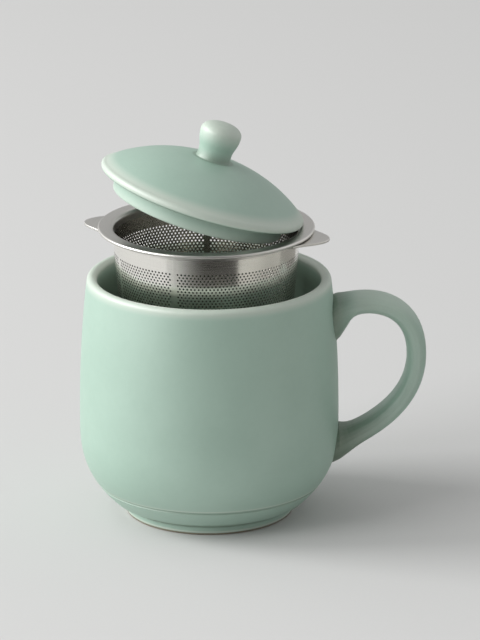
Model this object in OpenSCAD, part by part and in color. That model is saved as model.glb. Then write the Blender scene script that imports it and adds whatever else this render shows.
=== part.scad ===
// Stoneware tea mug with a lift-out steel infuser and a loose domed lid.
// Millimetres, +Z up. The origin is the centre of the foot ring, on the table.
// The handle points along +X. The infuser is drawn lifted by infuser_raise, and the
// lid tipped up by lid_open about lid_pivot, as when tea is being looked at.

/* [Mug body] */
// Height of the rim above the table
mug_h = 93.5; // [80:0.5:115]
// Radius of the belly, outside
belly_r = 49.5; // [45:0.5:58]
// Height of the widest place
belly_z = 34.5; // [28:0.5:42]
// Radius of the rim, outside
rim_r = 46.5; // [44:0.5:50]
// Thickness of the wall
wall = 3.9; // [3:0.1:5]
// Inward lean of the wall at the rim, in degrees
rim_lean = 7; // [0:1:12]
// Radius where the belly turns under to the foot
hip_r = 37.3; // [34:0.1:40]
// Height of that turn
hip_z = 5.9; // [5:0.1:8]
// Slope of the belly at that turn, in degrees
hip_slope = 43; // [30:1:55]
// Height of the inside floor
floor_z = 8; // [6.5:0.5:12]
// Radius of the flat part of the inside floor
floor_r = 25.3; // [20:0.1:28]
// Height of the turned line round the lower belly
line_z = 12.4; // [10:0.1:18]
// Radius of the tool that cuts the line
line_tool_r = 0.8; // [0.4:0.1:1.2]
// Depth of the line
line_depth = 0.45; // [0.2:0.05:0.7]

/* [Foot ring] */
// Radius of the foot ring, outside
foot_r = 32; // [28:0.5:33.5]
// Height of the foot ring
foot_h = 3.2; // [2:0.1:4]
// Width of the foot ring
foot_w = 4; // [3:0.1:6]
// Depth of the hollow under the base
foot_recess = 2.4; // [1:0.1:3]
// Rounding of the foot ring's edges
foot_round = 0.6; // [0.2:0.1:1]
// Outward flare of the foot ring's wall
foot_flare = 0.4; // [0:0.1:1]

/* [Handle] */
// Reach of the handle from the mug's axis
handle_reach = 82.8; // [74:0.1:95]
// Height of the handle's furthest place
handle_mid_z = 62; // [52:1:70]
// Height of the upper root
handle_top_z = 77.9; // [70:0.1:80]
// Height of the lower root
handle_low_z = 25.7; // [20:0.1:32]
// Rise of the strap above its upper root
handle_rise = 8.7; // [4:0.1:10]
// Width of the strap
strap_w = 14; // [10:0.1:18]
// Thickness of the strap at its middle
strap_t = 7.5; // [6:0.1:10]
// Extra thickness of the strap towards its roots
strap_gain = 1.2; // [0:0.1:2]
// Depth of the fillet under the upper root
top_fillet = 8.6; // [4:0.1:12]
// Depth of the fillet under the lower root
low_fillet = 3; // [2:0.1:8]
// Depth of the fillet above the upper root
upper_fillet = 1; // [0.5:0.1:2]
// Depth of the fillet above the lower root
inside_fillet = 2.2; // [0.5:0.1:3]
// Extra width of the strap where it meets the body
root_flare = 4.5; // [2:0.1:8]
// Length over which the roots swell
root_swell = 3.7; // [3:0.1:7]

/* [Infuser] */
// Height of the infuser above its seat on the rim
infuser_raise = 16.6; // [10:0.1:18]
// Sideways play that the infuser has taken up, away from the handle
infuser_slip = 1; // [0:0.1:1.2]
// Reach of the infuser's rim beyond the lid's edge
flange_margin = 1.3; // [1:0.1:2]
// Distance of the basket's neck inside the lid's edge
neck_inset = 4.3; // [4:0.1:6]
// Height of the straight neck
neck_h = 2; // [1.5:0.1:3]
// Narrowing of the basket's radius from neck to bottom
basket_taper = 5.3; // [3:0.1:7]
// Depth of the basket below the top of its rim
basket_depth = 68; // [55:1:75]
// Thickness of the steel sheet
sheet = 0.5; // [0.4:0.05:0.7]
// Bend radius between neck and rim, on the inside of the bend
bend_r = 1.3; // [0.8:0.1:1.6]
// Diameter of the curled edge of the rim
bead_d = 1.3; // [1:0.1:1.6]
// Height of the hem round the basket's bottom
hem_h = 2; // [1.5:0.1:3]
// Thickness of the hem
hem_t = 0.7; // [0.5:0.1:1]

/* [Perforation] */
// Diameter of each hole
hole_d = 0.8; // [0.6:0.1:1.2]
// Spacing of the holes round the neck and across the floor
hole_pitch = 9; // [7:0.5:14]
// Plain band above the holes
plain_band = 8.5; // [6:0.5:12]
// Plain band below the holes
plain_foot = 5; // [4:0.5:8]

/* [Grip tabs] */
// Reach of the tabs from the infuser's axis
tab_reach = 48; // [47.5:0.1:52]
// Angle from the tab's middle to its root, in degrees
tab_half_angle = 20; // [14:1:26]
// Thickness of the tabs
tab_t = 1; // [0.8:0.1:1.3]
// Width of the tabs' shoulders under the rim
tab_shoulder = 3; // [2:0.1:4]
// Direction of the right tab, in degrees from the handle
tab_turn = -15; // [-30:1:30]

/* [Lid] */
// Radius of the lid, outside
lid_r = 39.8; // [39:0.1:40.4]
// Radius of the lid's rounded edge
lip_r = 1.7; // [1.4:0.1:2]
// Height of the dome above the lid's seat
dome_h = 15.6; // [12:0.1:20]
// Thickness of the lid
lid_t = 3.8; // [3:0.1:5]
// Radial play of the locating ring in the basket's neck
ring_play = 1.2; // [1.1:0.05:1.6]
// Inward taper of the locating ring
ring_taper = 0.7; // [0.5:0.1:1.2]
// Depth of the locating ring below the seat
ring_h = 6.4; // [4:0.1:6.5]
// Thickness of the locating ring
ring_t = 2.8; // [2.5:0.1:3.6]
// Rounding of the locating ring's lower edges
ring_round = 1; // [0.5:0.1:1.2]
// Chamfer between the locating ring and the lid's seat
ring_chamfer = 0.5; // [0.2:0.1:1]
// Angle at which the lid is drawn tipped up, in degrees
lid_open = 17.2; // [14:0.1:18]
// Direction of the lid's low side, in degrees from the handle
lid_turn = 9; // [-30:1:30]
// Distance of the tipping axis inside the lid's edge
pivot_in = 5; // [4.7:0.1:5.3]
// Height of the tipping axis above the lid's seat
pivot_up = 11.6; // [11:0.1:12.5]
// Clearance under the shut lid
lid_gap = 0.55; // [0.5:0.05:1]

/* [Knob] */
// Radius of the knob's head
knob_r = 7.9; // [7:0.1:9.5]
// Radius of the knob's neck
knob_neck_r = 6.4; // [5.5:0.1:7]
// Flare of the knob's base beyond its neck
knob_flare = 0.4; // [0.2:0.1:1.5]
// Height of the knob above its seat
knob_h = 14.4; // [13:0.1:18]
// Height of the knob's neck above its seat
knob_neck_h = 2.4; // [1.5:0.1:4]
// Height of the knob's widest place above its seat
knob_head_h = 10.2; // [8:0.1:11.5]

/* [Hidden] */
// Clearance between the tabs and the rim of the mug when the infuser is seated
seat_gap = 0.25;
// Points on each curve of a turned outline, and on each small arc
CURVE_STEPS = 24;
ARC_STEPS = 12;
$fn = 96;

GLAZE = [0.56, 0.68, 0.61];
STEEL = [0.72, 0.72, 0.71];

// ---- Curves ----

// Point at t on the curve from a to d, with b and c as its handles
function bezier(a, b, c, d, t) =
    pow(1 - t, 3) * a + 3 * t * pow(1 - t, 2) * b + 3 * t * t * (1 - t) * c + t * t * t * d;

function curve(a, b, c, d, steps = CURVE_STEPS) =
    [for (i = [0:steps]) bezier(a, b, c, d, i / steps)];

function arc(centre, r, from, to, steps = ARC_STEPS) =
    [for (i = [0:steps])
        let (angle = from + (to - from) * i / steps)
        centre + r * [cos(angle), sin(angle)]];

function polar(r, angle) = r * [cos(angle), sin(angle)];

module turned(outline) rotate_extrude() polygon(outline);

// ---- Mug body ----

rim_centre = [rim_r - wall / 2, mug_h - wall / 2];
rim_outside = rim_centre + polar(wall / 2, rim_lean);
rim_inside = rim_centre - polar(wall / 2, rim_lean);
wall_up = [-sin(rim_lean), cos(rim_lean)];
wall_span = mug_h - belly_z;
hip_span = belly_z - hip_z;

belly_outside = [belly_r, belly_z];
belly_inside = [belly_r - wall, belly_z];
foot_top = [foot_r + foot_flare, foot_h];

lower_outside = curve(
    [hip_r, hip_z],
    [hip_r, hip_z] + polar(0.51 * hip_span, hip_slope),
    belly_outside - [0, 0.34 * hip_span],
    belly_outside);
upper_outside = curve(
    belly_outside,
    belly_outside + [0, 0.21 * wall_span],
    rim_outside - 0.4 * wall_span * wall_up,
    rim_outside);
upper_inside = curve(
    rim_inside,
    rim_inside - 0.4 * wall_span * wall_up,
    belly_inside + [0, 0.21 * wall_span],
    belly_inside);
lower_inside = curve(
    belly_inside,
    belly_inside - [0, 0.6 * (belly_z - floor_z)],
    [floor_r + 0.6 * (belly_inside[0] - floor_r), floor_z],
    [floor_r, floor_z]);

mug_outside = concat(
    [foot_top],
    lower_outside,
    [for (i = [1:CURVE_STEPS]) upper_outside[i]]);

// Outside radius of the mug at a height
function mug_radius(z) = lookup(z, [for (p = mug_outside) [p[1], p[0]]]);

module mug_solid() {
    foot_in = foot_r - foot_w;
    rim_step = 180 / ARC_STEPS;
    turned(concat(
        [[0, foot_recess], [foot_in - foot_recess / 2, foot_recess]],
        arc([foot_in + foot_round, foot_round], foot_round, 180, 270, 4),
        arc([foot_r - foot_round, foot_round], foot_round, 270, 360, 4),
        mug_outside,
        arc(rim_centre, wall / 2, rim_lean + rim_step, rim_lean + 180 - rim_step, ARC_STEPS - 2),
        upper_inside,
        [for (i = [1:CURVE_STEPS]) lower_inside[i]],
        [[0, floor_z]]));
}

module turned_line() {
    reach = mug_radius(line_z) + line_tool_r - line_depth;
    rotate_extrude() translate([reach, line_z]) circle(line_tool_r);
}

module mug_body() {
    color(GLAZE) difference() {
        mug_solid();
        turned_line();
    }
}

// ---- Handle ----

// The strap's middle line lies in the XZ plane
HALF_STEPS = 26;
strap_x = handle_reach - strap_t / 2;
strap_drop = handle_mid_z - handle_low_z;
root_bite = 0.9 * wall;
top_root = [mug_radius(handle_top_z) - root_bite, handle_top_z];
low_root = [mug_radius(handle_low_z) - root_bite, handle_low_z];
strap_far = [strap_x, handle_mid_z];
strap_line = concat(
    curve(
        top_root,
        top_root + [0.36 * (strap_x - top_root[0]), handle_rise],
        [strap_x, handle_top_z + 0.86 * handle_rise],
        strap_far, HALF_STEPS),
    [for (i = [1:HALF_STEPS]) bezier(
        strap_far,
        strap_far - [0, 0.463 * strap_drop],
        low_root + [0.6 * (strap_x - low_root[0]), 0.206 * strap_drop],
        low_root, i / HALF_STEPS)]);

// How much of the root's swelling is left at point i of the strap, from 1 at the wall
SWELL_POWER = 1.5;
function swelling(i) =
    let (p = strap_line[i])
    exp(-pow(max(0, p[0] - mug_radius(p[1])) / root_swell, SWELL_POWER));

// Rounded section of the strap: width along Y, thickness across the strap's line.
// Its outer side is above the upper root and under the lower one. At the wall it is upright.
SECTION_SIDES = 24;
SECTION_POWER = 0.84;
function soft(v) = sign(v) * pow(abs(v), SECTION_POWER);

function strap_ring(i) =
    let (
        left = swelling(i),
        ahead = strap_line[min(i + 1, 2 * HALF_STEPS)] - strap_line[max(i - 1, 0)],
        upright = [0, i < HALF_STEPS ? 1 : -1],
        mixed = (1 - left) * [-ahead[1], ahead[0]] / norm(ahead) + left * upright,
        across = mixed / norm(mixed),
        half_t = (strap_t + strap_gain * pow(i / HALF_STEPS - 1, 2)) / 2,
        outer = half_t + left * (i < HALF_STEPS ? upper_fillet : low_fillet),
        inner = half_t + left * (i < HALF_STEPS ? top_fillet : inside_fillet),
        half_w = (strap_w + root_flare * left) / 2
    )
    [for (k = [0:SECTION_SIDES - 1])
        let (
            angle = 360 * k / SECTION_SIDES,
            side = soft(sin(angle)),
            p = strap_line[i] + across * side * (side > 0 ? outer : inner)
        )
        [p[0], half_w * soft(cos(angle)), p[1]]];

// Closed skin over rings of points
module skin(rings) {
    n = len(rings[0]);
    last = len(rings) - 1;
    polyhedron(
        points = [for (ring = rings) each ring],
        faces = concat(
            [[for (k = [0:n - 1]) k]],
            [[for (k = [0:n - 1]) last * n + n - 1 - k]],
            [for (i = [0:last - 1], k = [0:n - 1])
                let (a = i * n + k, b = i * n + (k + 1) % n)
                each [[a, a + n, b], [b, a + n, b + n]]]),
        convexity = 4);
}

module mug_handle() {
    color(GLAZE) difference() {
        skin([for (i = [0:len(strap_line) - 1]) strap_ring(i)]);
        turned(concat([[0, foot_h]], mug_outside, [[0, rim_outside[1]]]));
    }
}

// ---- Infuser ----

// Puts a piece of the infuser or the lid on the infuser's own axis
module slipped() translate([-infuser_slip, 0, 0]) children();

// Radii that follow the lid's, and heights with the infuser raised
tab_top = mug_h + seat_gap + infuser_raise + tab_t;
neck_r = lid_r - neck_inset;
flange_r = lid_r + flange_margin;
basket_bottom_r = neck_r - basket_taper;
bend_centre = [neck_r + bend_r, tab_top];
flange_low = tab_top + bend_r;
flange_top = flange_low + sheet;
neck_bottom = tab_top - neck_h;
basket_bottom = flange_top - basket_depth;
mouth_r = neck_r - sheet;

// Outside radius of the tapered sleeve at a height
function sleeve_radius(z) =
    lookup(z, [[basket_bottom + sheet, basket_bottom_r], [neck_bottom, neck_r]]);

// The ring's edge rolls down into a bead, which starts at this angle round its own middle
bead_r = bead_d / 2;
bead_centre = [flange_r - bead_r, flange_top - bead_r];
bead_start = 180 - asin((bead_r - sheet) / bead_r);
BEAD_STEPS = 20;

module infuser_rim()
    color(STEEL) slipped() turned(concat(
        [[mouth_r, neck_bottom], [neck_r, neck_bottom]],
        arc(bend_centre, bend_r, 180, 90),
        arc(bead_centre, bead_r, bead_start, 450, BEAD_STEPS),
        arc(bend_centre, bend_r + sheet, 90, 180)));

module sleeve_holes() {
    top = flange_top - plain_band;
    bottom = basket_bottom + plain_foot;
    around = floor(2 * PI * neck_r / hole_pitch);
    rows = floor((top - bottom) / hole_pitch);
    for (row = [0:rows], k = [0:around - 1]) {
        z = top - row * hole_pitch;
        angle = 360 * (k + (row % 2) / 2) / around;
        rotate([0, 90, angle])
            translate([-z, 0, sleeve_radius(z) - 2 * sheet])
                cylinder(h = 3 * sheet, d = hole_d, $fn = 24);
    }
}

module infuser_sleeve() {
    low = basket_bottom + sheet;
    color(STEEL) slipped() difference() {
        turned([
            [basket_bottom_r - sheet, low], [basket_bottom_r, low],
            [neck_r, neck_bottom], [mouth_r, neck_bottom]]);
        sleeve_holes();
    }
}

module floor_holes() {
    rings = floor((basket_bottom_r - plain_foot) / hole_pitch);
    for (ring = [0:rings]) {
        count = max(1, 6 * ring);
        for (k = [0:count - 1])
            rotate(360 * k / count)
                translate([ring * hole_pitch, 0, basket_bottom - sheet])
                    cylinder(h = 3 * sheet, d = hole_d, $fn = 24);
    }
}

module infuser_floor() {
    color(STEEL) slipped() difference() {
        translate([0, 0, basket_bottom]) cylinder(h = sheet, r = basket_bottom_r);
        floor_holes();
    }
}

module infuser_hem() {
    top = basket_bottom + hem_h;
    color(STEEL) slipped() turned([
        [basket_bottom_r, basket_bottom],
        [basket_bottom_r + hem_t * 0.7, basket_bottom],
        [basket_bottom_r + hem_t, basket_bottom + hem_t * 0.5],
        [sleeve_radius(top) + hem_t, top - hem_t * 0.5],
        [sleeve_radius(top) + hem_t * 0.7, top],
        [sleeve_radius(top), top],
        [basket_bottom_r, basket_bottom + sheet]]);
}

// A tab lies under the rim and is welded to the neck. Its edge swells out as a bell.
module grip_tab(direction) {
    root_r = bend_centre[0] + tab_shoulder;
    swell = tab_reach - root_r;
    edge = [for (i = [-CURVE_STEPS:CURVE_STEPS])
        let (angle = tab_half_angle * i / CURVE_STEPS)
        polar(root_r + swell * (1 + cos(180 * i / CURVE_STEPS)) / 2, angle)];
    color(STEEL) slipped() translate([0, 0, tab_top - tab_t]) rotate(direction) difference() {
        linear_extrude(tab_t) polygon(concat([[0, 0]], edge));
        translate([0, 0, -tab_t]) cylinder(h = 3 * tab_t, r = neck_r);
    }
}

module grip_tab_right() grip_tab(tab_turn);
module grip_tab_left() grip_tab(tab_turn + 180);

// ---- Lid ----

// The lid and knob are drawn level with the lid's seat at z = 0
knob_base_r = knob_neck_r + knob_flare;
ring_r = mouth_r - ring_play;
lip_centre = [lid_r - lip_r, lip_r];
dome_edge = lip_centre + polar(lip_r, 75);
dome_rise = dome_h - dome_edge[1];
dome_outside = curve(
    dome_edge,
    dome_edge + [-0.22 * lid_r, 0.54 * dome_rise],
    [0.45 * lid_r, dome_h],
    [0, dome_h]);
knob_seat_z = lookup(knob_base_r, [for (i = [CURVE_STEPS:-1:0]) dome_outside[i]]);

// A soft hollow leads from the lip, at this angle up its round, to this point of the dome
HOLLOW_ANGLE = 68;
HOLLOW_END = 3;
hollow_start = lip_centre + polar(lip_r, HOLLOW_ANGLE);
hollow = curve(
    hollow_start,
    hollow_start + polar(0.4 * lip_r, HOLLOW_ANGLE + 90),
    2 * dome_outside[HOLLOW_END] - dome_outside[HOLLOW_END + 1],
    dome_outside[HOLLOW_END], 6);

// Tips the level lid up about its axis on the low side
module tipped() {
    pivot = [lid_r - pivot_in, 0, pivot_up];
    slipped() rotate(lid_turn)
        translate([0, 0, flange_top + lid_gap] + pivot)
            rotate([0, lid_open, 0])
                translate(-pivot)
                    children();
}

module lid_shell() {
    ring_in = ring_r - ring_t;
    inner_top = knob_seat_z - lid_t;
    low = ring_round - ring_h;
    color(GLAZE) tipped() turned(concat(
        arc(lip_centre, lip_r, -90, HOLLOW_ANGLE),
        [for (i = [1:len(hollow) - 1]) hollow[i]],
        [for (i = [HOLLOW_END + 1:CURVE_STEPS]) if (dome_outside[i][0] > knob_base_r) dome_outside[i]],
        [[knob_base_r, knob_seat_z], [0, knob_seat_z], [0, inner_top]],
        curve(
            [0.1 * lid_r, inner_top],
            [0.45 * lid_r, inner_top],
            [ring_in, 0.5 * inner_top],
            [ring_in, 0], 16),
        arc([ring_in + ring_round, low], ring_round, 180, 270, 4),
        arc([ring_r - ring_taper - ring_round, low], ring_round, 270, 360, 4),
        [[ring_r, -ring_chamfer], [ring_r + ring_chamfer, 0]]));
}

module lid_knob() {
    neck_z = knob_seat_z + knob_neck_h;
    head_z = knob_seat_z + knob_head_h;
    top_z = knob_seat_z + knob_h;
    color(GLAZE) tipped() turned(concat(
        [[0, knob_seat_z]],
        curve(
            [knob_base_r, knob_seat_z],
            [0.5 * (knob_base_r + knob_neck_r), knob_seat_z + 0.1 * knob_neck_h],
            [knob_neck_r, knob_seat_z + 0.4 * knob_neck_h],
            [knob_neck_r, neck_z], 6),
        [for (i = [1:16]) bezier(
            [knob_neck_r, neck_z],
            [knob_neck_r, neck_z + 0.35 * (head_z - neck_z)],
            [knob_r, head_z - 0.5 * (head_z - neck_z)],
            [knob_r, head_z], i / 16)],
        [for (i = [1:16]) bezier(
            [knob_r, head_z],
            [knob_r, head_z + 0.66 * (top_z - head_z)],
            [0.6 * knob_r, top_z],
            [0, top_z], i / 16)]));
}

mug_body();
mug_handle();
infuser_rim();
infuser_sleeve();
infuser_floor();
infuser_hem();
grip_tab_right();
grip_tab_left();
lid_shell();
lid_knob();
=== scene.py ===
"""A lidded stoneware tea mug in celadon glaze. Its steel infuser is lifted and its lid tipped up.

Lengths are metres. The origin is the centre of the mug's foot, and the handle points along +X.
"""

import math

import bmesh
import bpy
from mathutils import Matrix, Vector

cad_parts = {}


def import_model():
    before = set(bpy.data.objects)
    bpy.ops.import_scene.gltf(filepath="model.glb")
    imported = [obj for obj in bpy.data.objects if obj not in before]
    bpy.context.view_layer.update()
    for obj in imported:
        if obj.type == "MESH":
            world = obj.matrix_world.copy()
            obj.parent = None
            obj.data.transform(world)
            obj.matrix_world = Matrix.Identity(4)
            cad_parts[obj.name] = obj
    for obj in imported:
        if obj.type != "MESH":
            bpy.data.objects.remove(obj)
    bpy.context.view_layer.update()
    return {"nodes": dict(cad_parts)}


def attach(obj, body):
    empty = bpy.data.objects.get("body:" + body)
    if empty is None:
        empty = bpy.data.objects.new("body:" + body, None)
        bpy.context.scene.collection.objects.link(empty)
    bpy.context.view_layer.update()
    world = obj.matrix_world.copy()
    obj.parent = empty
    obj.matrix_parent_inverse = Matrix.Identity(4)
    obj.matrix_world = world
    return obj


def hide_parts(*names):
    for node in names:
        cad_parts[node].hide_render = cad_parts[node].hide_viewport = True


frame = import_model()

MM = 0.001

# The mug's height, and heights of places on it from the foot up
MUG_H = 93.5 * MM
GLAZE_LOW = 0.85 * MM
FOOT_EDGE = 1.3 * MM
UNDERCUT = 4.2 * MM
MUG_FLOOR = 7 * MM
TURNED_LINE = 12.3 * MM
BELLY_Z = 34.5 * MM

# How far from the mug's axis the middle of its wall lies at the belly
WALL_MIDDLE_R = 47.5 * MM

# The infuser's own axis lies a little off the mug's, away from the handle
INFUSER_X = -1 * MM

# How thick its plain steel is
SHEET = 0.5 * MM

# The infuser's rim: its neck, the bend out to the flat ring, and the ring's rolled edge
NECK_R = 35.5 * MM
NECK_LOW = 109.35 * MM
BEND_R = 1.3 * MM
FLANGE_TOP = 113.15 * MM
FLANGE_R = 41.1 * MM
CURL_R = 0.65 * MM
CURL_END = -193
RIM_SEGMENTS = 240

# The grip tabs, and their directions from the handle's in degrees
TAB_TOP = 111.35 * MM
TAB_T = 1 * MM
TAB_ROOT = 39.8 * MM
TAB_REACH = 48 * MM
TAB_HALF_ANGLE = math.radians(20)
TABS = {"right": -15, "left": 165}

# The basket below the neck, and the plain edge of its floor
BASKET_LOW_R = 30.2 * MM
BASKET_LOW = 45.15 * MM
FLOOR_EDGE = 3 * MM
FLOOR_SEGMENTS = 128

# Perforation of the basket: the holes have eight corners, this far from their middles
HOLE_R = 0.4 * MM
HOLE_PITCH = 1.48 * MM
ROW_PITCH = 1.12 * MM
FIRST_ROW = 103.6 * MM
ROW_PAIRS = 25
PUNCHED_SHEET = 0.35 * MM

# The sleeve's plain strips: half their width, and their directions in degrees
STRIP_HALF = 1.58 * MM
STRIPS = (-110, 90, 201)

# How the lid stands over the infuser
LID_OPEN = math.radians(17.2)
LID_TURN = math.radians(9)
LID_PIVOT = Vector((34.8, 0, 11.6)) * MM
LID_SEAT = 113.7 * MM

# Less than this far apart counts as level, and more than this angle as a crease
LEVEL = 1e-7
CREASE = math.radians(35)


def lid_frame():
    """Where the lid's own axes lie: its seat at z = 0 and its axis upright."""
    return (
        Matrix.Translation((INFUSER_X, 0, 0))
        @ Matrix.Rotation(LID_TURN, 4, "Z")
        @ Matrix.Translation(Vector((0, 0, LID_SEAT)) + LID_PIVOT)
        @ Matrix.Rotation(LID_OPEN, 4, "Y")
        @ Matrix.Translation(-LID_PIVOT)
    )


# ---- Sums of nodes ----


def colour(red, green, blue):
    """A colour from its three screen values, 0 to 255."""

    def light(value):
        value /= 255
        return value / 12.92 if value <= 0.04045 else ((value + 0.055) / 1.055) ** 2.4

    return light(red), light(green), light(blue), 1


class Number:
    """A number that changes over a surface. Sums written with it become nodes."""

    def __init__(self, tree, socket):
        self.tree = tree
        self.socket = socket

    def __add__(self, other):
        return self.tree.maths("ADD", self, other)

    def __sub__(self, other):
        return self.tree.maths("SUBTRACT", self, other)

    def __rsub__(self, other):
        return self.tree.maths("SUBTRACT", other, self)

    def __mul__(self, other):
        return self.tree.maths("MULTIPLY", self, other)

    __radd__ = __add__
    __rmul__ = __mul__

    def size(self):
        return self.tree.maths("ABSOLUTE", self)

    def sine(self):
        return self.tree.maths("SINE", self)

    def root(self):
        return self.tree.maths("SQRT", self)

    def least(self, other):
        return self.tree.maths("MINIMUM", self, other)

    def most(self, other):
        return self.tree.maths("MAXIMUM", self, other)

    def step(self, low, high):
        """0 up to low and 1 from high on, with a smooth rise between; high may be the lesser."""
        node = self.tree.node(
            "ShaderNodeMapRange",
            {"interpolation_type": "SMOOTHSTEP"},
            {"Value": self, "From Min": low, "From Max": high},
        )
        return Number(self.tree, node.outputs[0])

    def near(self, middle, width):
        """1 at the middle, falling to 0 at that distance from it."""
        return (self - middle).size().step(width, 0)


class Tree:
    """The nodes of a material or of the room's light."""

    def __init__(self, owner):
        owner.use_nodes = True
        self.nodes = owner.node_tree.nodes
        self.links = owner.node_tree.links

    def node(self, kind, settings=None, inputs=None):
        """Adds a node, with its settings first and then the values or links of its sockets."""
        made = self.nodes.new(kind)
        for name, value in (settings or {}).items():
            setattr(made, name, value)
        for name, value in (inputs or {}).items():
            self.feed(made.inputs[name], value)
        return made

    def feed(self, socket, value):
        if isinstance(value, Number):
            value = value.socket
        if isinstance(value, bpy.types.NodeSocket):
            self.links.new(value, socket)
        else:
            socket.default_value = value

    def maths(self, operation, *values):
        node = self.node("ShaderNodeMath", {"operation": operation}, dict(enumerate(values)))
        return Number(self, node.outputs[0])

    def axes(self):
        parts = self.node("ShaderNodeSeparateXYZ", {}, {0: self.place})
        return [Number(self, out) for out in parts.outputs]

    def noise(self, scale, detail=2, place=None):
        node = self.node(
            "ShaderNodeTexNoise",
            {},
            {"Vector": place or self.place, "Scale": scale, "Detail": detail},
        )
        return Number(self, node.outputs["Fac"])

    def point(self, x, y, z):
        return self.node("ShaderNodeCombineXYZ", {}, {0: x, 1: y, 2: z}).outputs[0]

    def mix(self, share, first, second):
        """The first colour where share is 0, and the second where it is 1."""
        node = self.node(
            "ShaderNodeMix", {"data_type": "RGBA"}, {0: share, 6: first, 7: second}
        )
        return node.outputs[2]


class Finish(Tree):
    """A procedural material."""

    def __init__(self, name, **constants):
        self.material = bpy.data.materials.new(name)
        super().__init__(self.material)
        self.nodes.clear()
        self.surface = self.node("ShaderNodeBsdfPrincipled")
        self.node("ShaderNodeOutputMaterial", {}, {"Surface": self.surface.outputs[0]})
        self.place = self.node("ShaderNodeTexCoord").outputs["Object"]
        self.paint(**constants)

    def stand_in(self, frame_of_piece):
        """Measures patterns from the piece's own axes."""
        move, turn, _ = frame_of_piece.decompose()
        self.place = self.node(
            "ShaderNodeMapping",
            {"vector_type": "TEXTURE"},
            {"Vector": self.place, "Location": move, "Rotation": turn.to_euler()},
        ).outputs[0]

    def around(self):
        """Distance from the upright axis, height along it, and direction round it."""
        x, y, z = self.axes()
        turn = self.maths("ARCTAN2", y, x)
        return (x * x + y * y).root(), z, turn

    def relief(self, height, depth):
        """Raises and lowers the surface by height, which runs over about 1, times depth."""
        node = self.node(
            "ShaderNodeBump", {}, {"Height": height, "Distance": depth, "Strength": 1}
        )
        self.feed(self.surface.inputs["Normal"], node.outputs[0])

    def paint(self, **inputs):
        for name, value in inputs.items():
            self.feed(self.surface.inputs[name.replace("_", " ")], value)


class Room(Tree):
    """The light that comes from all round."""

    def __init__(self, made):
        super().__init__(made)
        self.back = self.nodes["Background"]
        self.place = self.node("ShaderNodeTexCoord").outputs["Generated"]


# ---- Glaze ----

GREEN = colour(157, 184, 169)
GREEN_DEEP = colour(131, 160, 144)
# Pale glaze where it thins over edges, also used for painted highlights
GREEN_PALE_AND_HIGHLIGHT = colour(206, 210, 199)
# Deep green of pooled glaze, also used for painted shade
GREEN_POOL_AND_SHADE = colour(86, 103, 80)
CLAY = colour(130, 123, 104)
CLAY_DARK = colour(112, 103, 86)

GLAZE_IOR = 1.95
GLAZE_ROUGHNESS = 0.45
GLAZE_RELIEF = 0.25 * MM

# Scales of the noise in the glaze and the bare clay, finer as they grow
CLOUD_SCALE = 38
MOTTLE_SCALE = 420
SKIN_SCALE = 2400
CLAY_SCALE = 1500


def glaze(name, edges, pools_and_shade, frame_of_piece=None, bare=None):
    """Satin celadon: paler where it thins over edges and where highlights are painted, deeper
    where the glaze has pooled and where shade is painted.

    edges, pools_and_shade and bare take the finish's distance, height and direction. They say
    from 0 to 1 how pale the glaze is from thinning and painted highlights, how deep it is from
    pooling and painted shade, and where the clay is bare.
    """
    finish = Finish(name, IOR=GLAZE_IOR)
    if frame_of_piece:
        finish.stand_in(frame_of_piece)
    around = finish.around()
    cloud = finish.noise(CLOUD_SCALE, detail=3)
    mottle = finish.noise(MOTTLE_SCALE)
    depth = cloud.step(0.3, 0.75) * 0.22 + mottle.step(0.35, 0.7) * 0.05
    tone = finish.mix(depth, GREEN, GREEN_DEEP)
    # Deeper where the glaze has pooled and where shade is painted
    tone = finish.mix(pools_and_shade(*around), tone, GREEN_POOL_AND_SHADE)
    # Paler where the glaze thins and where highlights are painted
    thin_and_highlit = (edges(*around) * (0.8 + mottle * 0.3)).least(1)
    tone = finish.mix(thin_and_highlit, tone, GREEN_PALE_AND_HIGHLIGHT)
    rough = GLAZE_ROUGHNESS + cloud * 0.06 + thin_and_highlit * 0.05
    if bare:
        unglazed = bare(*around)
        grain = finish.noise(CLAY_SCALE)
        tone = finish.mix(unglazed, tone, finish.mix(grain, CLAY, CLAY_DARK))
        rough = rough + unglazed * 0.5
    finish.paint(Base_Color=tone, Roughness=rough)
    skin = finish.noise(SKIN_SCALE, detail=1)
    swell = cloud * 0.7 + mottle * 0.07 + skin * 0.008
    finish.relief(swell, GLAZE_RELIEF)
    return finish.material


def mug_edges(far, height, turn):
    """Thin over the rim, the upper edge of the turned line and the edge of the foot."""
    rim = height.step(MUG_H - 4.2 * MM, MUG_H - 0.9 * MM)
    line_edge = height.near(TURNED_LINE + 1 * MM, 0.7 * MM)
    foot_edge = height.near(FOOT_EDGE, 0.6 * MM)
    return (rim * 0.6).most(line_edge * 0.5).most(foot_edge * 0.6)


def inside_mug(far, height):
    """1 on the inside of the mug's wall, 0 on its outside."""
    below = (BELLY_Z - height).most(0)
    above = (height - BELLY_Z).most(0)
    bend_below, bend_above = 17.2, 0.94
    bent_in = below * below * bend_below + above * above * bend_above
    wall_middle = WALL_MIDDLE_R - bent_in
    over_floor = height.step(MUG_FLOOR - 0.5 * MM, MUG_FLOOR + 0.5 * MM)
    return (far - wall_middle).step(0.4 * MM, -0.4 * MM) * over_floor


def mug_pools_and_shade(far, height, turn):
    """Painted shade in the turned line, where glaze also pooled, in the undercut over the foot,
    and deepening down the inside.
    """
    line = height.near(TURNED_LINE, 0.6 * MM)
    undercut = height.near(UNDERCUT, 1.8 * MM)
    # Painted shade that deepens down the inside of the mug
    depth = height.step(MUG_H + 0.5 * MM, MUG_H - 9.5 * MM)
    inside = inside_mug(far, height) * depth
    return (line * 0.45).most(undercut * 0.6).most(inside * 0.6)


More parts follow.
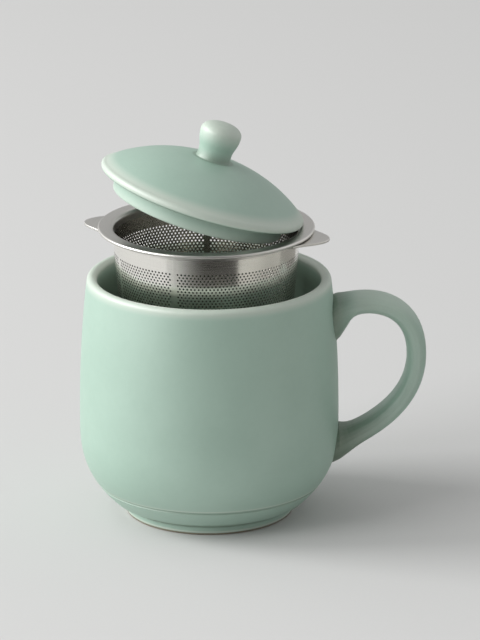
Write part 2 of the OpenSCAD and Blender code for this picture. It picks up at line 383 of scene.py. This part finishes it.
def mug_bare(far, height, turn):
    """Bare where the foot stands."""
    return height.step(GLAZE_LOW + 0.1 * MM, GLAZE_LOW - 0.1 * MM)


def handle_edges_and_highlight(far, height, turn):
    """Thin down each side of the strap, with a painted highlight over the top of the loop."""
    strap_side = (far * turn.sine()).size().step(5.6 * MM, 7 * MM)
    # A painted highlight over the top of the loop
    highlit_loop_top = height.step(72 * MM, 85 * MM)
    clear_of_roots = far.step(52 * MM, 58 * MM)
    return (strap_side * 0.15).most(highlit_loop_top * 0.3) * clear_of_roots


def handle_pools_and_shade(far, height, turn):
    """Painted shade at both roots, where glaze also pooled, and most in the lower part of the
    loop.
    """
    roots = far.step(57 * MM, 47.5 * MM)
    # Painted shade on the lower part of the loop
    lower_part = far.step(74 * MM, 48 * MM) * height.step(54 * MM, 40 * MM)
    return (roots * 0.75).most(lower_part * 0.85)


def lid_edges_and_highlight(far, height, turn):
    """Thin over the lip and the low edge of the locating ring. The lip's wide pale band is partly
    a painted highlight.
    """
    # Thinned glaze over the lip, widened into a painted highlight
    lip = far.step(34.6 * MM, 38.6 * MM) * height.step(0.3 * MM, 1.2 * MM)
    ring_edge = height.step(-2 * MM, -6 * MM)
    return (lip * 0.6).most(ring_edge * 0.3)


def lid_pools_and_shade(far, height, turn):
    """Painted shade on the dome round the knob, where glaze also pooled, and under the lip."""
    dome = height.step(12.5 * MM, 14.5 * MM)
    round_knob = far.near(7.4 * MM, 1.2 * MM) * dome
    # Painted shadow under the lip
    under_lip = height.step(0.8 * MM, 0.1 * MM) * far.step(33 * MM, 34.5 * MM)
    return (round_knob * 0.4).most(under_lip * 0.6)


def knob_edges_and_highlight(far, height, turn):
    """Thin over the knob's head, which also carries a painted highlight."""
    head = height.step(20 * MM, 28 * MM)
    return head * 0.6


def knob_pools_and_shade(far, height, turn):
    """Painted shade round the knob's neck."""
    neck = height.step(20 * MM, 15.3 * MM)
    return neck * 0.5


# ---- Steel ----

STEEL_RING = colour(226, 224, 219)
STEEL_SHEET = colour(250, 248, 242)
# Painted shade for the inside of the punched sheet and the cut faces of its holes
STEEL_INSIDE_SHADE = colour(190, 188, 180)
STEEL_CUT_SHADE = colour(66, 64, 60)
BLACK = (0, 0, 0, 1)

SMUDGE_SCALE = 60
LINE_RELIEF = 0.012 * MM


def steel(name, tint, roughness, line_scale, along_height=True, middle=None):
    """Rolled and polished steel with fine lines round the infuser's axis.

    middle is the radius at height 0 and the slope of the middle of a punched sheet. Such a
    sheet has painted shade on its inside and on the cut faces of its holes, which are also dull.
    """
    finish = Finish(name, Metallic=1.0)
    finish.stand_in(Matrix.Translation((INFUSER_X, 0, 0)))
    far, height, turn = finish.around()
    across = height if along_height else far
    drawn_out = finish.point(across * line_scale, turn * 3, 0)
    lines = finish.noise(1, detail=3, place=drawn_out)
    smudge = finish.noise(SMUDGE_SCALE)
    rough = roughness + lines * 0.08 + smudge.step(0.4, 0.8) * 0.05
    if middle:
        low_r, slope = middle
        outwards = far - height * slope - low_r
        # Painted shade on the sheet's inside face and on the cut faces of its holes
        tint = finish.mix(outwards.step(0.05 * MM, -0.05 * MM), tint, STEEL_INSIDE_SHADE)
        cut = outwards.size().step(0.17 * MM, 0.13 * MM)
        tint = finish.mix(cut, tint, STEEL_CUT_SHADE)
        rough = rough + cut * 0.4
    shade = finish.mix(lines * 0.1, tint, BLACK)
    finish.paint(Base_Color=shade, Roughness=rough)
    finish.relief(lines, LINE_RELIEF)
    return finish.material


# ---- Pieces ----


def piece(bm, name, material, body, slot, *stands_for):
    """Makes a named object of the mesh that rides on a body and stands for CAD nodes."""
    mesh = bpy.data.meshes.new(name)
    bm.to_mesh(mesh)
    bm.free()
    mesh.shade_smooth()
    mesh.set_sharp_from_angle(angle=CREASE)
    made = bpy.data.objects.new(name, mesh)
    bpy.context.scene.collection.objects.link(made)
    made.data.materials.append(material)
    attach(made, body)
    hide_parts(*stands_for)
    return made


def each_once(items):
    """The items in their order, without repeats."""
    return list(dict.fromkeys(items))


def only_verts(geometry):
    return [item for item in geometry if isinstance(item, bmesh.types.BMVert)]


def thicken(bm, faces, thickness):
    """Makes a solid plate of a flat sheet, upwards."""
    grown = bmesh.ops.extrude_face_region(bm, geom=faces, use_keep_orig=True)["geom"]
    bmesh.ops.translate(bm, verts=only_verts(grown), vec=(0, 0, thickness))
    bmesh.ops.recalc_face_normals(bm, faces=bm.faces[:])


def round_corner(centre, r, start, end, steps):
    """Points of an arc in a turned outline, from one angle to another in degrees."""
    points = []
    for i in range(steps + 1):
        angle = math.radians(start + (end - start) * i / steps)
        points.append((centre[0] + r * math.cos(angle), centre[1] + r * math.sin(angle)))
    return points


def rim_ring(material):
    """The infuser's rim: a neck that bends outwards to a flat ring, whose edge rolls down."""
    bend = (NECK_R + BEND_R, TAB_TOP)
    curl = (FLANGE_R - CURL_R, FLANGE_TOP - CURL_R)
    outline = [(NECK_R, NECK_LOW), (NECK_R - SHEET, NECK_LOW)]
    outline += round_corner(bend, BEND_R + SHEET, 180, 90, steps=12)
    outline += round_corner(curl, CURL_R, 90, CURL_END, steps=28)
    outline += round_corner(bend, BEND_R, 90, 180, steps=10)
    bm = bmesh.new()
    corners = [bm.verts.new((INFUSER_X + r, 0, z)) for r, z in outline]
    edges = [bm.edges.new(pair) for pair in zip(corners, corners[1:] + corners[:1])]
    bmesh.ops.spin(
        bm, geom=corners + edges, cent=(INFUSER_X, 0, 0), axis=(0, 0, 1),
        angle=2 * math.pi, steps=RIM_SEGMENTS, use_merge=True,
    )
    bmesh.ops.recalc_face_normals(bm, faces=bm.faces[:])
    return piece(bm, "rim_ring", material, "infuser", "steel", "infuser_rim")


def tab_outline(direction):
    """Once round a tab, as distances and directions from the infuser's axis.

    The tab swells out as a bell from under the rim, and comes back along the neck.
    """
    outer_steps, inner_steps = 40, 8
    inner_r = NECK_R + 0.1 * MM
    outline = []
    for i in range(-outer_steps, outer_steps + 1):
        swell = (1 + math.cos(math.pi * i / outer_steps)) / 2
        reach = TAB_ROOT + (TAB_REACH - TAB_ROOT) * swell
        outline.append((reach, direction + TAB_HALF_ANGLE * i / outer_steps))
    for i in range(inner_steps, -inner_steps - 1, -1):
        outline.append((inner_r, direction + TAB_HALF_ANGLE * i / inner_steps))
    return outline


def grip_tab(side, direction, material):
    """A flat tab with rounded edges."""
    bm = bmesh.new()
    corners = [
        bm.verts.new((INFUSER_X + r * math.cos(angle), r * math.sin(angle), TAB_TOP - TAB_T))
        for r, angle in tab_outline(direction)
    ]
    thicken(bm, bmesh.ops.contextual_create(bm, geom=corners)["faces"], TAB_T)
    rims = [e for e in bm.edges if abs(e.verts[0].co.z - e.verts[1].co.z) < LEVEL]
    bmesh.ops.bevel(
        bm, geom=rims, offset=0.38 * TAB_T, offset_type="OFFSET", affect="EDGES",
        segments=4, profile=0.5, material=-1, clamp_overlap=True,
    )
    return piece(bm, f"tab_{side}", material, "infuser", "steel", f"grip_tab_{side}")


def diamond_grid(columns, row_pairs):
    """A flat sheet of diamonds, one round each inner edge of a grid of unit squares."""
    bm = bmesh.new()
    bmesh.ops.create_grid(bm, x_segments=columns, y_segments=row_pairs, size=1)
    for v in bm.verts:
        v.co = ((v.co.x + 1) / 2 * columns, (v.co.y + 1) / 2 * row_pairs, 0)
    inner_edges = [e for e in bm.edges if len(e.link_faces) == 2]
    bmesh.ops.poke(bm, faces=bm.faces[:])
    bmesh.ops.dissolve_edges(bm, edges=inner_edges, use_verts=False)
    return bm


def open_holes(bm, punched):
    """Opens an eight-sided hole in each face, round the middle given with it."""
    faces = [face for face, _ in punched]
    bmesh.ops.inset_individual(bm, faces=faces, thickness=0.3 * HOLE_PITCH)
    rims = each_once(e for face in faces for e in face.edges)
    bmesh.ops.bisect_edges(bm, edges=rims, cuts=1)
    eighth = math.pi / 4
    for face, middle in punched:
        for v in face.verts:
            away = v.co.xy - middle
            angle = round(math.atan2(away.y, away.x) / eighth) * eighth
            v.co.xy = middle + HOLE_R * Vector((math.cos(angle), math.sin(angle)))
    bmesh.ops.delete(bm, geom=faces, context="FACES_ONLY")


def punched_grid(columns, row_pairs, has_hole, place):
    """A flat sheet with staggered holes.

    Rows of holes lie on the grid's level lines and halfway between them. place turns a
    position in the grid into one on the sheet, and has_hole says which are punched.
    """
    bm = diamond_grid(columns, row_pairs)
    punched = []
    for face in bm.faces:
        middle = face.calc_center_median()
        if len(face.verts) == 4 and has_hole(middle.x, middle.y):
            punched.append((face, Vector(place(middle.x, middle.y))))
    for v in bm.verts:
        v.co.x, v.co.y = place(v.co.x, v.co.y)
    open_holes(bm, punched)
    return bm


def stretch_edge(bm, at, to):
    """Carries the flat sheet's border at one height on to another height."""

    def lies_there(edge):
        return edge.is_boundary and all(abs(v.co.y - at) < LEVEL for v in edge.verts)

    border = [e for e in bm.edges if lies_there(e)]
    grown = bmesh.ops.extrude_edge_only(bm, edges=border)["geom"]
    for v in only_verts(grown):
        v.co.y = to


def basket_r(height):
    """Radius of the outside of the basket's sleeve, which tapers down."""
    share = (height - BASKET_LOW - SHEET) / (NECK_LOW - BASKET_LOW - SHEET)
    return BASKET_LOW_R + (NECK_R - BASKET_LOW_R) * share


def roll_up(bm, start):
    """Bends the flat sheet round the infuser's axis, from a direction in degrees."""
    for v in bm.verts:
        along, height = v.co.x, v.co.y
        angle = math.radians(start) + along / NECK_R
        r = basket_r(height)
        v.co = (INFUSER_X + r * math.cos(angle), r * math.sin(angle), height)


def face_outwards(bm):
    """Turns over the faces that look towards the infuser's axis."""
    bm.normal_update()
    inward = []
    for face in bm.faces:
        outwards = face.calc_center_median() - Vector((INFUSER_X, 0, 0))
        outwards.z = 0
        if face.normal.dot(outwards) < 0:
            inward.append(face)
    bmesh.ops.reverse_faces(bm, faces=inward)


def sleeve_panel(name, start, end, material):
    """One punched panel of the basket's sleeve, between the middles of two plain strips."""
    width = math.radians(end - start) * NECK_R
    holes = round((width - 2 * STRIP_HALF) / HOLE_PITCH)
    pitch = (width - 2 * STRIP_HALF) / holes
    top = FIRST_ROW + ROW_PITCH
    bottom = top - ROW_PAIRS * 2 * ROW_PITCH

    def place(column, row):
        if column < 1:
            along = column * STRIP_HALF
        elif column > holes + 1:
            along = width - (holes + 2 - column) * STRIP_HALF
        else:
            along = STRIP_HALF + (column - 1) * pitch
        return along, top - row * 2 * ROW_PITCH

    def has_hole(column, row):
        """From the edge of one plain strip to the edge of the other."""
        return 0.9 < column < holes + 1.1

    bm = punched_grid(holes + 2, ROW_PAIRS, has_hole, place)
    stretch_edge(bm, top, NECK_LOW)
    stretch_edge(bm, bottom, BASKET_LOW + SHEET)
    roll_up(bm, start)
    face_outwards(bm)
    bmesh.ops.solidify(bm, geom=bm.faces[:], thickness=PUNCHED_SHEET)
    return piece(bm, name, material, "infuser", "steel", "infuser_sleeve")


def basket_floor(material):
    """The punched floor of the basket, plain round its edge."""
    plain = BASKET_LOW_R - FLOOR_EDGE
    ragged_from, ragged_to = plain - 0.6 * MM, plain + 1.3 * MM
    columns = 2 * math.ceil(plain / HOLE_PITCH)
    row_pairs = math.ceil(plain / ROW_PITCH)

    def place(column, row):
        return (column - columns / 2) * HOLE_PITCH, (row - row_pairs / 2) * 2 * ROW_PITCH

    def has_hole(column, row):
        return Vector(place(column, row)).length < plain

    def is_ragged(edge):
        return edge.is_boundary and all(v.co.length > ragged_from for v in edge.verts)

    bm = punched_grid(columns, row_pairs, has_hole, place)
    outside = [v for v in bm.verts if v.co.length > ragged_to]
    bmesh.ops.delete(bm, geom=outside, context="VERTS")
    ragged = [e for e in bm.edges if is_ragged(e)]
    circle = bmesh.ops.create_circle(bm, segments=FLOOR_SEGMENTS, radius=BASKET_LOW_R)["verts"]
    edge = each_once(e for v in circle for e in v.link_edges)
    bmesh.ops.triangle_fill(bm, use_beauty=True, use_dissolve=False, edges=ragged + edge)
    bmesh.ops.translate(bm, verts=bm.verts[:], vec=(INFUSER_X, 0, BASKET_LOW))
    thicken(bm, bm.faces[:], SHEET)
    return piece(bm, "infuser_floor_sheet", material, "infuser", "steel", "infuser_floor")


# ---- Studio ----

MUG_MIDDLE = Vector((0, 0, 0.06))
LAMP_DISTANCE = 2.6
LAMP_SIDE = 1.17
FLOOR_HALF = 8

PAPER = colour(210, 210, 209)
PAPER_SHADE = colour(207, 207, 206)
# Tones of the cards, which paint reflections of the room
CLOTH_PALE = colour(215, 215, 214)
CLOTH_DARK = colour(47, 45, 43)
CLOTH_FOOT = colour(135, 133, 129)
PAPER_SCALE = 900
CLOTH_SCALE = 20

# Light from all round that has no direction, and the backdrop's grey
ROOM_LIGHT = 0.19
BACKDROP = (0.64, 0.64, 0.64, 1)

# The camera looks down on the mug from in front. Its lens and its film's width are in mm.
CAMERA_PLACE = (0.01175, -1.7, 0.6144)
CAMERA_TILT = math.radians(72.41)
LENS = 263.53
FILM_WIDTH = 36
CAMERA_REACH = 60


def softbox(name, direction, height, power):
    """A square lamp aimed at the mug, clockwise from the front and up by angles in degrees."""
    turn, rise = math.radians(direction), math.radians(height)
    level = math.cos(rise)
    away = Vector((-math.sin(turn) * level, -math.cos(turn) * level, math.sin(rise)))
    data = bpy.data.lights.new(name, "AREA")
    data.shape = "SQUARE"
    data.size, data.energy = LAMP_SIDE, power
    lamp = bpy.data.objects.new(name, data)
    lamp.location = MUG_MIDDLE + away * LAMP_DISTANCE
    lamp.rotation_euler = (-away).to_track_quat("-Z", "Y").to_euler()
    lamp.visible_camera = False
    bpy.context.scene.collection.objects.link(lamp)


def stage_sheet(name, material, corners):
    """A flat sheet that belongs to the studio and not to the mug."""
    bm = bmesh.new()
    bmesh.ops.contextual_create(bm, geom=[bm.verts.new(corner) for corner in corners])
    mesh = bpy.data.meshes.new(name)
    bm.to_mesh(mesh)
    bm.free()
    made = bpy.data.objects.new(name, mesh)
    made.data.materials.append(material)
    bpy.context.scene.collection.objects.link(made)
    return made


def floor():
    """A wide floor of dull paper."""
    paper = Finish("floor_paper", Roughness=0.85, Specular_IOR_Level=0)
    grain = paper.noise(PAPER_SCALE)
    paper.paint(Base_Color=paper.mix(grain, PAPER, PAPER_SHADE))
    corners = [(-1, -1, 0), (1, -1, 0), (1, 1, 0), (-1, 1, 0)]
    stage_sheet("floor", paper.material, [Vector(corner) * FLOOR_HALF for corner in corners])


def card(name, paint, start, end, height):
    """An upright card between two places on the floor. It shows only in reflections."""
    cloth = Finish(f"{name}_cloth", Roughness=1.0)
    cloth.paint(Base_Color=paint(cloth))
    corners = [(*start, 0), (*end, 0), (*end, height), (*start, height)]
    made = stage_sheet(name, cloth.material, corners)
    made.visible_camera = made.visible_diffuse = made.visible_shadow = False


def front_cloth(cloth):
    """A painted reflection: pale on the left and dark on the right, with a lighter foot that
    rises in a bow.
    """
    across, _, up = cloth.axes()
    dark = across.step(-0.14, 0.005)
    bow = across * across * 1.56
    foot = (up + bow).step(0.045, 0.041)
    tone = cloth.mix(dark, CLOTH_PALE, CLOTH_DARK)
    return cloth.mix(dark * foot, tone, CLOTH_FOOT)


def plain_cloth(tone, paler):
    """A cloth of two tones that hardly differ."""

    def paint(cloth):
        return cloth.mix(cloth.noise(CLOTH_SCALE), tone, paler)

    return paint


def cards():
    """A row of cards from the front round to the back, by the places of their ends. They paint
    reflections of the dim room round the mug.
    """
    left, front, right, back = (-0.16, -0.15), (0.114, -0.15), (0.19, 0.029), (0.133, 0.164)
    right_cloth = plain_cloth(colour(158, 157, 152), colour(164, 163, 158))
    back_cloth = plain_cloth(colour(122, 121, 117), colour(128, 126, 122))
    card("front_card", front_cloth, left, front, height=0.12)
    card("right_card", right_cloth, front, right, height=0.12)
    card("back_card", back_cloth, right, back, height=0.075)


def world():
    """Soft room light: brightest from the left, dim from the front."""
    made = bpy.data.worlds.new("studio")
    bpy.context.scene.world = made
    room = Room(made)
    across, depth, up = room.axes()
    above = up.step(0.05, 0.8) * 0.07
    behind = depth.step(-0.3, 0.7) * 0.22
    left = across.step(0, -0.9) * 0.85
    right = across.step(0, 0.9) * 0.38
    light = above + behind + left + right + ROOM_LIGHT
    seen = room.node("ShaderNodeLightPath").outputs["Is Camera Ray"]
    grey = room.point(light, light, light)
    room.feed(room.back.inputs["Color"], room.mix(seen, grey, BACKDROP))


def camera():
    data = bpy.data.cameras.new("camera")
    data.sensor_fit, data.sensor_width, data.lens = "AUTO", FILM_WIDTH, LENS
    data.clip_end = CAMERA_REACH
    made = bpy.data.objects.new("camera", data)
    made.location = CAMERA_PLACE
    made.rotation_euler = (CAMERA_TILT, 0, 0)
    bpy.context.scene.collection.objects.link(made)
    bpy.context.scene.camera = made


# ---- The object ----


def finish_nodes(satin):
    """Gives the CAD nodes whose shapes are kept their finishes."""
    lid = lid_frame()
    finishes = {
        "mug_body": glaze("glaze_mug", mug_edges, mug_pools_and_shade, bare=mug_bare),
        "mug_handle": glaze("glaze_handle", handle_edges_and_highlight, handle_pools_and_shade),
        "lid_shell": glaze("glaze_lid", lid_edges_and_highlight, lid_pools_and_shade, lid),
        "lid_knob": glaze("glaze_knob", knob_edges_and_highlight, knob_pools_and_shade, lid),
        "infuser_hem": satin,
    }
    for name, material in finishes.items():
        mesh = frame["nodes"][name].data
        mesh.materials.clear()
        mesh.materials.append(material)


def basket(sheet):
    """The sleeve's panels, each from one plain strip to the next, and the floor."""
    ends = [*STRIPS, STRIPS[0] + 360]
    for number, (start, end) in enumerate(zip(ends, ends[1:]), 1):
        sleeve_panel(f"sleeve_panel_{number}", start, end, sheet)
    basket_floor(sheet)


def build():
    satin = steel(
        "steel_flange", STEEL_RING, roughness=0.26, line_scale=2500, along_height=False
    )
    finish_nodes(satin)
    rim_ring(satin)
    for side, direction in TABS.items():
        grip_tab(side, math.radians(direction), satin)
    slope = (NECK_R - BASKET_LOW_R) / (NECK_LOW - BASKET_LOW - SHEET)
    middle = (basket_r(0) - PUNCHED_SHEET / 2, slope)
    sheet = steel("steel_sheet", STEEL_SHEET, roughness=0.12, line_scale=1500, middle=middle)
    basket(sheet)


bpy.context.scene.view_settings.view_transform = "Standard"
camera()
world()
floor()
cards()
softbox("key_light", direction=95, height=28, power=46)
softbox("fill_light", direction=60, height=25, power=25)
build()
